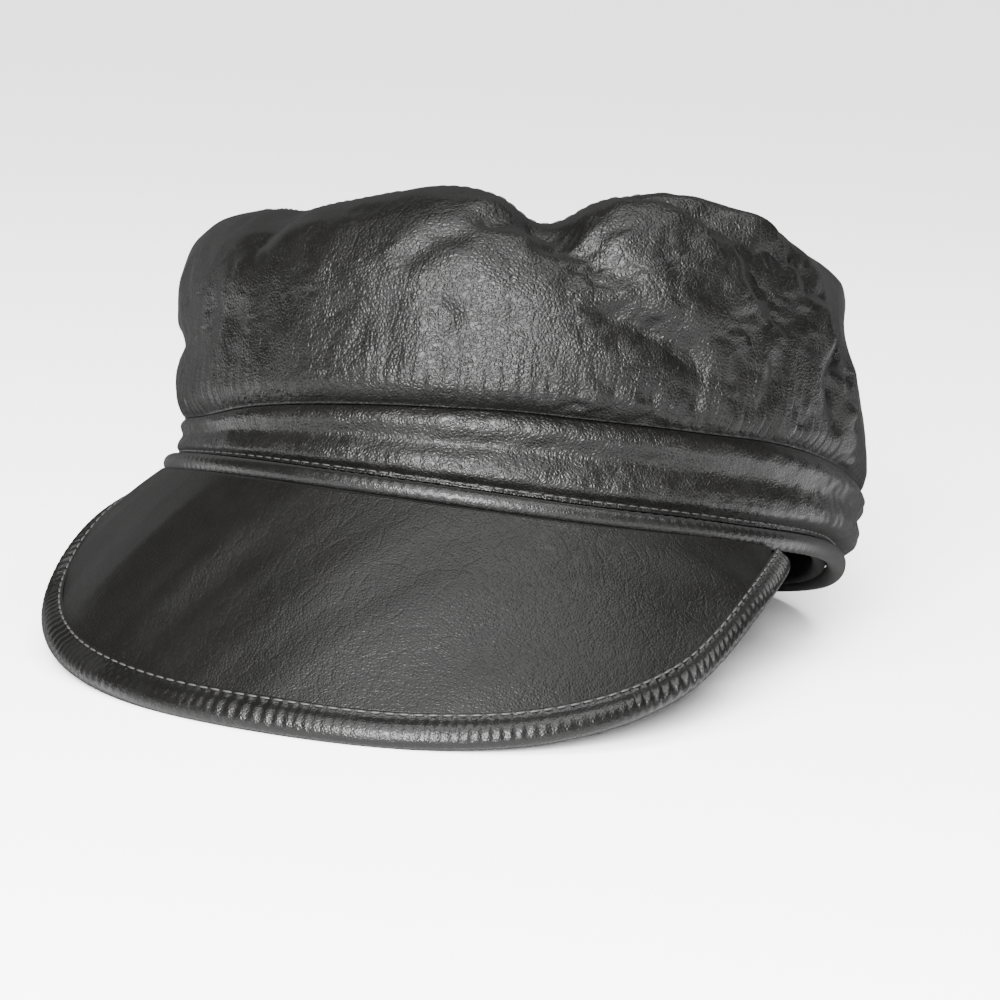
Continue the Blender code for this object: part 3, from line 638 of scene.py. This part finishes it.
def bandOut(angle, share):
    relief = cap["bandRelief"] * curve(bandProfile, reliefColumn, share)
    bulge = cap["bandBulge"] * curve(bandProfile, bulgeColumn, share)
    return relief * around(sections, seamColumn, angle) + bulge * around(sections, girthColumn, angle)


def bandFace(angle, share, sink=0.0, extra=0.0):
    low = cap["hemRadius"] + cap["pieceGap"]
    high = cap["bandHeight"] * around(sections, seamColumn, angle)
    return rimPoint(angle, bandOut(angle, share) - sink + extra, low + (high - low) * share)


def bandDetail(angle, share):
    run = angle * perDegree
    patchSway, patchSwayLength = bandLook["patchSway"]
    wrinkle = gathers(run, bandLook["spacing"], bandLook["sway"], bandLook["slant"] * share)
    wrinkle *= patches(run, bandLook["patch"], patchSway * np.sin(run / patchSwayLength))
    swells = bandLook["lowSwell"], bandLook["highSwell"]
    swell = sum(height * hill(share, at, width) for height, at, width in swells)
    more, mostAt, mostWidth = bandLook["leftSwell"]
    swell = swell * (1 - more + more * hill(angle, mostAt, mostWidth))
    groove = hill(share, bandLook["stitchShare"], bandLook["grooveWidth"])
    rough = unevenness(bandFace(angle, share), bandLook["wavesSeed"], *bandLook["waves"])
    fade = ease(0.0, bandLook["fadeIn"], share) * (1 - ease(bandLook["fadeOut"], 1.0, share))
    relief = bandLook["wrinkle"] * wrinkle * swell + bandLook["unevenness"] * rough
    return (relief - bandLook["stitchSink"] * groove) * fade


def bandPiece():
    angles = ringAngles(bandLook["columns"])
    grid = gridOf(angles, np.linspace(0, 1, bandLook["rows"]))
    outer = bandFace(*grid, extra=bandDetail(*grid))
    inner = bandFace(*gridOf(angles, np.linspace(1, 0, bandLook["innerRows"])), sink=cap["bandWall"])
    verts = np.concatenate([stand(outer).reshape(-1, 3), stand(inner).reshape(-1, 3)])
    rows = bandLook["rows"] + bandLook["innerRows"]
    faces = gridFaces(rows, len(angles), closedRows=True, closedColumns=True)
    return meshPiece("bandRing", verts, faces, leather("band"))


bandRing = bandPiece()
place(bandRing, "band_leather", "band")


# hem: a soft roll, gently gathered
hemLook = {
    "columns": 900, "sides": 18, "gather": 0.00013, "middle": 0.6, "spacing": 3.0,
    "sway": (1.7, 8.0), "slant": 0.6, "patch": 13.0,
}


def hemPiece():
    columns, sides = hemLook["columns"], hemLook["sides"]
    angles = ringAngles(columns)
    run = angles * perDegree
    rings = []
    for turn in hemTurns(sides):
        gather = gathers(run, hemLook["spacing"], hemLook["sway"], hemLook["slant"] * turn)
        gather *= patches(run, hemLook["patch"], math.sin(turn))
        radius = cap["hemRadius"] + hemLook["gather"] * (gather - hemLook["middle"])
        rings.append(hemRing(angles, turn, radius))
    verts = np.array(rings).reshape(-1, 3)
    faces = gridFaces(sides, columns, closedRows=True, closedColumns=True)
    return meshPiece("hemRoll", verts, faces, leather("hem"))


hemRoll = hemPiece()
place(hemRoll, "hem_leather", "hem_roll")


# sweatband: a flat inner band with a rounded lip at the hem, the lip's heights as shares of its radius
sweatbandLook = {
    "columns": 420, "faceSteps": 6, "backSteps": 7, "lipSteps": 7,
    "softEdge": 0.0004, "lipStart": (0.0002, 0.6), "neck": 1.5,
    "faceFrom": 2.2, "faceShort": 0.4, "lipSink": 0.1, "lipDrop": 1.1,
}


def sweatbandProfile():
    lip, top, soft = cap["lipRadius"], cap["sweatbandHeight"], sweatbandLook["softEdge"]
    lipOut = rollOut - cap["hemRadius"] - cap["pieceGap"]
    faceOut = -(cap["bandWall"] + cap["sweatbandRoom"])
    backOut = faceOut - cap["sweatbandWall"]
    startIn, startUp = sweatbandLook["lipStart"]
    faceLow, faceHigh = lip * sweatbandLook["faceFrom"], top - lip * sweatbandLook["faceShort"]
    profile = [(lipOut - startIn, lip * startUp), (faceOut + soft, lip * sweatbandLook["neck"])]
    faceHeights = np.linspace(faceLow, faceHigh, sweatbandLook["faceSteps"] + 1)
    backHeights = np.linspace(top, lip, sweatbandLook["backSteps"] + 1)[1:]
    profile += [(faceOut, height) for height in faceHeights]
    profile += [(faceOut - soft, top), (backOut + soft, top), (backOut, top - soft)]
    profile += [(backOut, height) for height in backHeights]
    middle, reach = (lipOut + backOut) / 2, (lipOut - backOut) / 2
    for turn in np.linspace(math.pi, 2 * math.pi, sweatbandLook["lipSteps"] + 1):
        height = lip * (sweatbandLook["lipSink"] + sweatbandLook["lipDrop"] * math.sin(turn))
        profile.append((middle + reach * math.cos(turn), height))
    return profile


def sweatbandPiece():
    columns = sweatbandLook["columns"]
    profile = sweatbandProfile()
    rings = [stand(rimPoint(ringAngles(columns), np.full(columns, out), height)) for out, height in profile]
    faces = gridFaces(len(profile), columns, closedRows=True, closedColumns=True)
    return meshPiece("sweatbandRing", np.array(rings).reshape(-1, 3), faces, leather("sweatband"))


sweatbandRing = sweatbandPiece()
place(sweatbandRing, "sweatband_leather", "sweatband")
print("skipper cap: band, hem and sweatband done")


# peak: its middle surface runs from under the hem to a free edge lying on the surface
# share of the turn to the end, share of the climb to the hem
peakEdgeHeights = [(0.0, 0.0), (0.2, 0.0), (0.4, 0.09), (0.6, 0.34), (0.8, 0.80), (1.0, 1.0)]
camberDirection = np.array([0.0, -0.5, 0.86])
peakLook = {
    "endTurn": 84.0, "crowding": 0.8, "edgeSeat": 0.15, "boardEndShare": 0.97,
    "columns": 300, "rows": 90, "underRows": 24,
    "streak": 0.00028, "streakX": 0.75, "streakY": 0.66, "streakStretch": 0.28,
    "longStreaks": (12, 0.012, 0.045), "fineStreaks": (14, 0.004, 0.010), "fineShare": 0.12,
}


def hemCentre(turn):
    angle = np.asarray(turn, float) / 90 * cap["peakEndAngle"]
    return stand(rimPoint(angle, 0 * angle + rollOut, 0.0))


# turn runs from -90 at the peak's end on the -X side, over 0 at its front, to 90 at the other end
def peakEdge(turn):
    ends = hemCentre(np.array([-90.0, 90.0])) - shift
    end = np.where((np.asarray(turn) > 0)[..., None], ends[1], ends[0])
    front = (hemCentre(np.array([0.0])) - shift)[0, 1] - cap["peakReach"]
    a = np.radians(turn)
    x = ends[1, 0] * np.sin(a) + cap["peakSpread"] * np.sin(2 * a)
    y = end[..., 1] + (front - end[..., 1]) * np.cos(a)
    rise = curve(peakEdgeHeights, 1, np.abs(turn) / 90)
    low = bindingThickness * peakLook["edgeSeat"]
    z = low + (end[..., 2] - cap["hemRadius"] - bindingThickness / 2 - low) * rise
    return np.stack([x, y, z], -1) + shift


def peakBase(turn):
    centre, edge = hemCentre(turn), peakEdge(turn)
    return centre + unit(edge - centre) * (cap["hemRadius"] + cap["pieceGap"])


def peakMiddle(turn, share):
    base, edge = peakBase(turn), peakEdge(turn)
    share = np.asarray(share)[..., None]
    camber = cap["peakCamber"] * np.sin(math.pi * share) * np.cos(np.radians(turn))[..., None]
    return base + (edge - base) * share + camberDirection * camber


def peakNormal(turn, share):
    turnStep, shareStep = 0.5, 0.02
    share = np.asarray(share, float) + 0 * turn
    aside = peakMiddle(turn + turnStep, share) - peakMiddle(turn - turnStep, share)
    along = peakMiddle(turn, share + shareStep) - peakMiddle(turn, share - shareStep)
    return unit(np.cross(along, aside))


def peakDepth(turn):
    return np.linalg.norm(peakEdge(turn) - peakBase(turn), axis=-1)


# turns set closer together towards both ends
def peakTurns(count):
    quarter = math.pi / 2 * peakLook["crowding"]
    return peakLook["endTurn"] * np.sin(np.linspace(-1, 1, count) * quarter) / math.sin(quarter)


# a point of the peak by its distance in from the free edge and its height off the middle surface
def peakPoint(turn, inset, height):
    share = np.maximum(1.0 - inset / peakDepth(turn), 0.0)
    point = peakMiddle(turn, share) + peakNormal(turn, share) * np.asarray(height)[..., None]
    point[..., 2] = np.maximum(point[..., 2], 0.0)
    return point


def peakStreaks(turns, shares, rows):
    spot = peakMiddle(turns, shares)
    x, y, byX, byY = spot[..., 0], spot[..., 1], peakLook["streakX"], peakLook["streakY"]
    across = y * byX - x * byY
    stretched = np.stack([across, (x * byX + y * byY) * peakLook["streakStretch"], 0 * across], -1)
    long = unevenness(stretched, *peakLook["longStreaks"])
    fine = unevenness(stretched, *peakLook["fineStreaks"])
    fade = np.sin(np.clip(np.linspace(0, 1, rows)[:, None] * math.pi, 0, math.pi)) ** 0.5
    return peakLook["streak"] * fade * (long + peakLook["fineShare"] * fine)


def boardPiece():
    turns = peakTurns(peakLook["columns"]) * peakLook["boardEndShare"]
    limit = 1.0 - (cap["bindingLeather"] + cap["pieceGap"]) / peakDepth(turns)
    sheets = []
    for rows, side in ((peakLook["rows"], 1), (peakLook["underRows"], -1)):
        shares = np.linspace(0, 1, rows)[:, None] * limit
        turnGrid = np.broadcast_to(turns, shares.shape)
        height = np.full(shares.shape, side * cap["boardThickness"] / 2)
        if side > 0:
            height = height + peakStreaks(turnGrid, shares, rows)
        sheets.append(peakMiddle(turnGrid, shares) + peakNormal(turnGrid, shares) * height[..., None])
    top, under = sheets
    verts = np.concatenate([top.reshape(-1, 3), under[::-1].reshape(-1, 3)])
    rows, columns = peakLook["rows"] + peakLook["underRows"], peakLook["columns"]
    faces = gridFaces(rows, columns, closedRows=True)
    faces += [tuple(k * columns + side for k in range(rows)) for side in (0, columns - 1)]
    return meshPiece("peakBoard", verts, faces, leather("peak"))


peakBoard = boardPiece()
place(peakBoard, "peak_leather", "peak")


# binding: leather folded round the free edge, gathered along its stitches
# share of the way round from the top inner edge, share of the width, share of half the thickness
bindingProfile = [
    (0.00, 1.00, 0.52), (0.06, 0.94, 0.66), (0.13, 0.86, 0.66), (0.20, 0.76, 0.74), (0.32, 0.52, 1.16),
    (0.42, 0.28, 1.14), (0.50, 0.08, 0.70), (0.56, 0.00, 0.10), (0.62, 0.00, -0.45), (0.68, 0.10, -1.00),
    (0.84, 0.50, -1.00), (1.00, 1.00, -1.00),
]
insetColumn, heightColumn = 1, 2
bindingLook = {
    "columns": 760, "rows": 54, "limit": 0.98, "gather": 0.00046, "spacing": 2.7,
    "sways": ((0.30, 6.0), (0.5, 17.0)), "slantSway": (0.25, 4.3), "patch": (0.40, 9.0, 1.3),
    "ends": (0.6, 30, 75), "fadeIn": (0.04, 0.16), "fadeOut": (0.44, 0.60),
}


def bindingWidths(turns):
    return np.minimum(cap["bindingWidth"], peakDepth(turns) * bindingLook["limit"])


def edgeRun(turns):
    steps = np.linalg.norm(np.diff(peakEdge(turns), axis=0), axis=1)
    return np.concatenate([[0.0], np.cumsum(steps)]) * mm


def bindingGather(turns, run, t):
    slant, slantLength = bindingLook["slantSway"]
    more, patchLength, patchStart = bindingLook["patch"]
    atEnds, endsFrom, endsTo = bindingLook["ends"]
    beat = run / bindingLook["spacing"] + slant * t * np.sin(run / slantLength)
    for amount, length in bindingLook["sways"]:
        beat = beat + amount * np.sin(run / length)
    gather = np.sin(2 * math.pi * beat) * (1 - more + more * np.sin(run / patchLength + patchStart))
    ends = 1 - atEnds + atEnds * ease(endsFrom, endsTo, np.abs(turns))
    fade = float(ease(*bindingLook["fadeIn"], t) * (1 - ease(*bindingLook["fadeOut"], t)))
    return bindingLook["gather"] * gather * ends * fade


def bindingPiece():
    turns = peakTurns(bindingLook["columns"])
    run, width = edgeRun(turns), bindingWidths(turns)
    half = bindingThickness / 2
    slot = half - cap["bindingLeather"]
    inside = np.minimum(cap["bindingLeather"], width / 2)
    rings = []
    for t in np.linspace(0, 1, bindingLook["rows"]):
        inset = max(float(curve(bindingProfile, insetColumn, t)), 0)
        height = float(curve(bindingProfile, heightColumn, t))
        rings.append(peakPoint(turns, inset * width, height * half + bindingGather(turns, run, t)))
    for inset, height in ((width, -slot), (inside, -slot), (inside, slot), (width, slot)):
        rings.append(peakPoint(turns, inset, np.full(len(turns), height)))
    faces = gridFaces(len(rings), len(turns), closedRows=True)
    faces += [tuple(k * len(turns) + side for k in range(len(rings))) for side in (0, len(turns) - 1)]
    return meshPiece("peakBinding", np.array(rings).reshape(-1, 3), faces, leather("binding"))


peakBinding = bindingPiece()
place(peakBinding, "binding_leather", "peak_binding")
print("skipper cap: peak and binding done")


# stitches: Geometry Nodes sets one along a line at each step
stitchLook = {
    "thread": (0.007, 0.0067, 0.0064), "rough": 0.65, "linePoints": 720, "peakLinePoints": 700,
    "segments": 10, "rings": 8,
    "bandStep": 0.0032, "bandSize": (0.0024, 0.00055, 0.00042), "bandRise": 0.00015,
    "peakStep": 0.0034, "peakSize": (0.0027, 0.00070, 0.00056), "peakRise": 0.0001,
    "peakInset": 0.90, "peakHeight": 0.66, "peakEnd": 0.985,
    "topStep": 0.0032, "topSize": (0.0024, 0.0006, 0.0005), "topBelow": 0.012,
}
threadInputs = {"Base Color": (*stitchLook["thread"], 1), "Roughness": stitchLook["rough"]}
thread = plainMaterial("thread", threadInputs)


def stitchTree():
    tree = bpy.data.node_groups.new("stitchRow", "GeometryNodeTree")
    tree.interface.new_socket("Geometry", in_out="INPUT", socket_type="NodeSocketGeometry")
    step = tree.interface.new_socket("Step", in_out="INPUT", socket_type="NodeSocketFloat")
    size = tree.interface.new_socket("Size", in_out="INPUT", socket_type="NodeSocketVector")
    tree.interface.new_socket("Geometry", in_out="OUTPUT", socket_type="NodeSocketGeometry")
    entry = node(tree, "NodeGroupInput", {}).outputs
    line = node(tree, "GeometryNodeMeshToCurve", {"Mesh": entry["Geometry"]}).outputs
    inputs = {"Curve": line["Curve"], "Length": entry["Step"]}
    points = node(tree, "GeometryNodeCurveToPoints", inputs, mode="LENGTH").outputs
    inputs = {"Segments": stitchLook["segments"], "Rings": stitchLook["rings"], "Radius": 0.5}
    stitch = node(tree, "GeometryNodeMeshUVSphere", inputs).outputs
    turn = node(tree, "FunctionNodeAlignRotationToVector", {"Vector": points["Tangent"]}, axis="X").outputs
    inputs = {"Points": points["Points"], "Instance": stitch["Mesh"], "Rotation": turn["Rotation"]}
    put = node(tree, "GeometryNodeInstanceOnPoints", {**inputs, "Scale": entry["Size"]}).outputs
    real = node(tree, "GeometryNodeRealizeInstances", {"Geometry": put["Instances"]}).outputs
    inputs = {"Geometry": real["Geometry"], "Material": thread}
    coat = node(tree, "GeometryNodeSetMaterial", inputs).outputs
    node(tree, "NodeGroupOutput", {"Geometry": coat["Geometry"]})
    return tree, step.identifier, size.identifier


stitchRow, stepSocket, sizeSocket = stitchTree()


def stitches(name, points, closed, step, size, slotName):
    count = len(points)
    edges = [(k, (k + 1) % count) for k in range(count if closed else count - 1)]
    data = bpy.data.meshes.new(name + "Line")
    data.from_pydata([tuple(p) for p in points], edges, [])
    line = addObject(name + "Line", data)
    nodes = line.modifiers.new("stitches", "NODES")
    nodes.node_group = stitchRow
    nodes[stepSocket] = step
    nodes[sizeSocket] = size
    bpy.context.view_layer.update()
    done = bpy.data.meshes.new_from_object(line.evaluated_get(bpy.context.evaluated_depsgraph_get()))
    bpy.data.objects.remove(line)
    done.name = name
    if not done.materials:
        done.materials.append(thread)
    done.shade_smooth()
    place(addObject(name, done), slotName)


def bandStitchLine():
    angles = ringAngles(stitchLook["linePoints"])
    share = np.full(len(angles), bandLook["stitchShare"])
    return stand(bandFace(angles, share, extra=bandDetail(angles, share) + stitchLook["bandRise"]))


def peakStitchLine():
    turns = peakTurns(stitchLook["peakLinePoints"]) * stitchLook["peakEnd"]
    height = bindingThickness / 2 * stitchLook["peakHeight"] + stitchLook["peakRise"]
    return peakPoint(turns, bindingWidths(turns) * stitchLook["peakInset"], np.full(len(turns), height))


def topStitchLine():
    angles = ringAngles(stitchLook["linePoints"])
    return stand(crownFace(angles, np.full(len(angles), crownLook["seamWay"] - stitchLook["topBelow"])))


bandStep, peakStep, topStep = stitchLook["bandStep"], stitchLook["peakStep"], stitchLook["topStep"]
stitches("bandStitches", bandStitchLine(), True, bandStep, stitchLook["bandSize"], "band_leather")
stitches("peakStitches", peakStitchLine(), False, peakStep, stitchLook["peakSize"], "binding_leather")
stitches("topStitches", topStitchLine(), True, topStep, stitchLook["topSize"], "crown_leather")
print("skipper cap: stitches done")


# camera, at the photograph's angle
view = {
    "azimuth": 22.0, "elevation": 9.5, "distance": 0.885, "height": 0.0425, "roll": 3.5,
    "lens": 115.8, "sensor": 36.0, "shiftX": -0.0106, "shiftY": -0.0285,
}


def setCamera():
    azimuth, elevation = math.radians(view["azimuth"]), math.radians(view["elevation"])
    roll = math.radians(view["roll"])
    flat = math.cos(elevation)
    back = Vector((math.sin(azimuth) * flat, -math.cos(azimuth) * flat, math.sin(elevation)))
    right = Vector((math.cos(azimuth), math.sin(azimuth), 0))
    up = back.cross(right)
    rolledRight = right * math.cos(roll) + up * math.sin(roll)
    rolledUp = up * math.cos(roll) - right * math.sin(roll)
    turned = Matrix((rolledRight, rolledUp, back)).transposed()
    lens = bpy.data.cameras.new("camera")
    lens.lens, lens.sensor_width = view["lens"], view["sensor"]
    lens.shift_x, lens.shift_y = view["shiftX"], view["shiftY"]
    camera = addObject("camera", lens)
    target = Vector((float(shift[0]), float(shift[1]), view["height"]))
    camera.matrix_world = Matrix.Translation(target + back * view["distance"]) @ turned.to_4x4()
    bpy.context.scene.camera = camera


# pale floor and soft studio light
studio = {
    "floorHalf": 30, "floorTone": (0.93, 0.93, 0.93), "floorRough": 0.9, "floorGloss": 0.1,
    "softbox": 14.0, "room": 0.06, "towards": (0.113, -0.456, 0.883), "from": 0.79, "to": 0.966,
    "aim": (0, 0, 0.05),
}
# name, where it stands, size, power
lights = [
    ("keyLight", (0.34, -1.30, 0.50), 0.66, 190.0),
    ("topLight", (0.45, 0.20, 1.25), 0.50, 14.0),
]


def setFloor():
    half = studio["floorHalf"]
    corners = [(-half, -half, 0), (half, -half, 0), (half, half, 0), (-half, half, 0)]
    data = bpy.data.meshes.new("floor")
    data.from_pydata(corners, [], [(0, 1, 2, 3)])
    paper = {"Base Color": (*studio["floorTone"], 1), "Roughness": studio["floorRough"]}
    data.materials.append(plainMaterial("paper", {**paper, "Specular IOR Level": studio["floorGloss"]}))
    addObject("floor", data)


# a dim room with one broad softbox overhead
def setWorld():
    world = bpy.data.worlds.new("studio")
    bpy.context.scene.world = world
    world.use_nodes = True
    tree = world.node_tree
    direction = node(tree, "ShaderNodeTexCoord", {}).outputs["Generated"]
    inputs = {0: direction, 1: studio["towards"]}
    aside = node(tree, "ShaderNodeVectorMath", inputs, operation="DOT_PRODUCT").outputs["Value"]
    inputs = {"Value": aside, "From Min": studio["from"], "From Max": studio["to"]}
    inputs.update({"To Min": studio["room"], "To Max": studio["softbox"]})
    glow = node(tree, "ShaderNodeMapRange", inputs, interpolation_type="SMOOTHSTEP").outputs["Result"]
    tree.nodes["Background"].inputs["Color"].default_value = (1, 1, 1, 1)
    tree.links.new(glow, tree.nodes["Background"].inputs["Strength"])


def setLight(name, where, size, power):
    lamp = bpy.data.lights.new(name, "AREA")
    lamp.shape, lamp.size, lamp.energy = "DISK", size, power
    turn = (Vector(studio["aim"]) - Vector(where)).to_track_quat("-Z", "Y")
    addObject(name, lamp).matrix_world = Matrix.Translation(Vector(where)) @ turn.to_matrix().to_4x4()


setCamera()
setFloor()
setWorld()
for light in lights:
    setLight(*light)

print("skipper cap: camera, floor and light done")
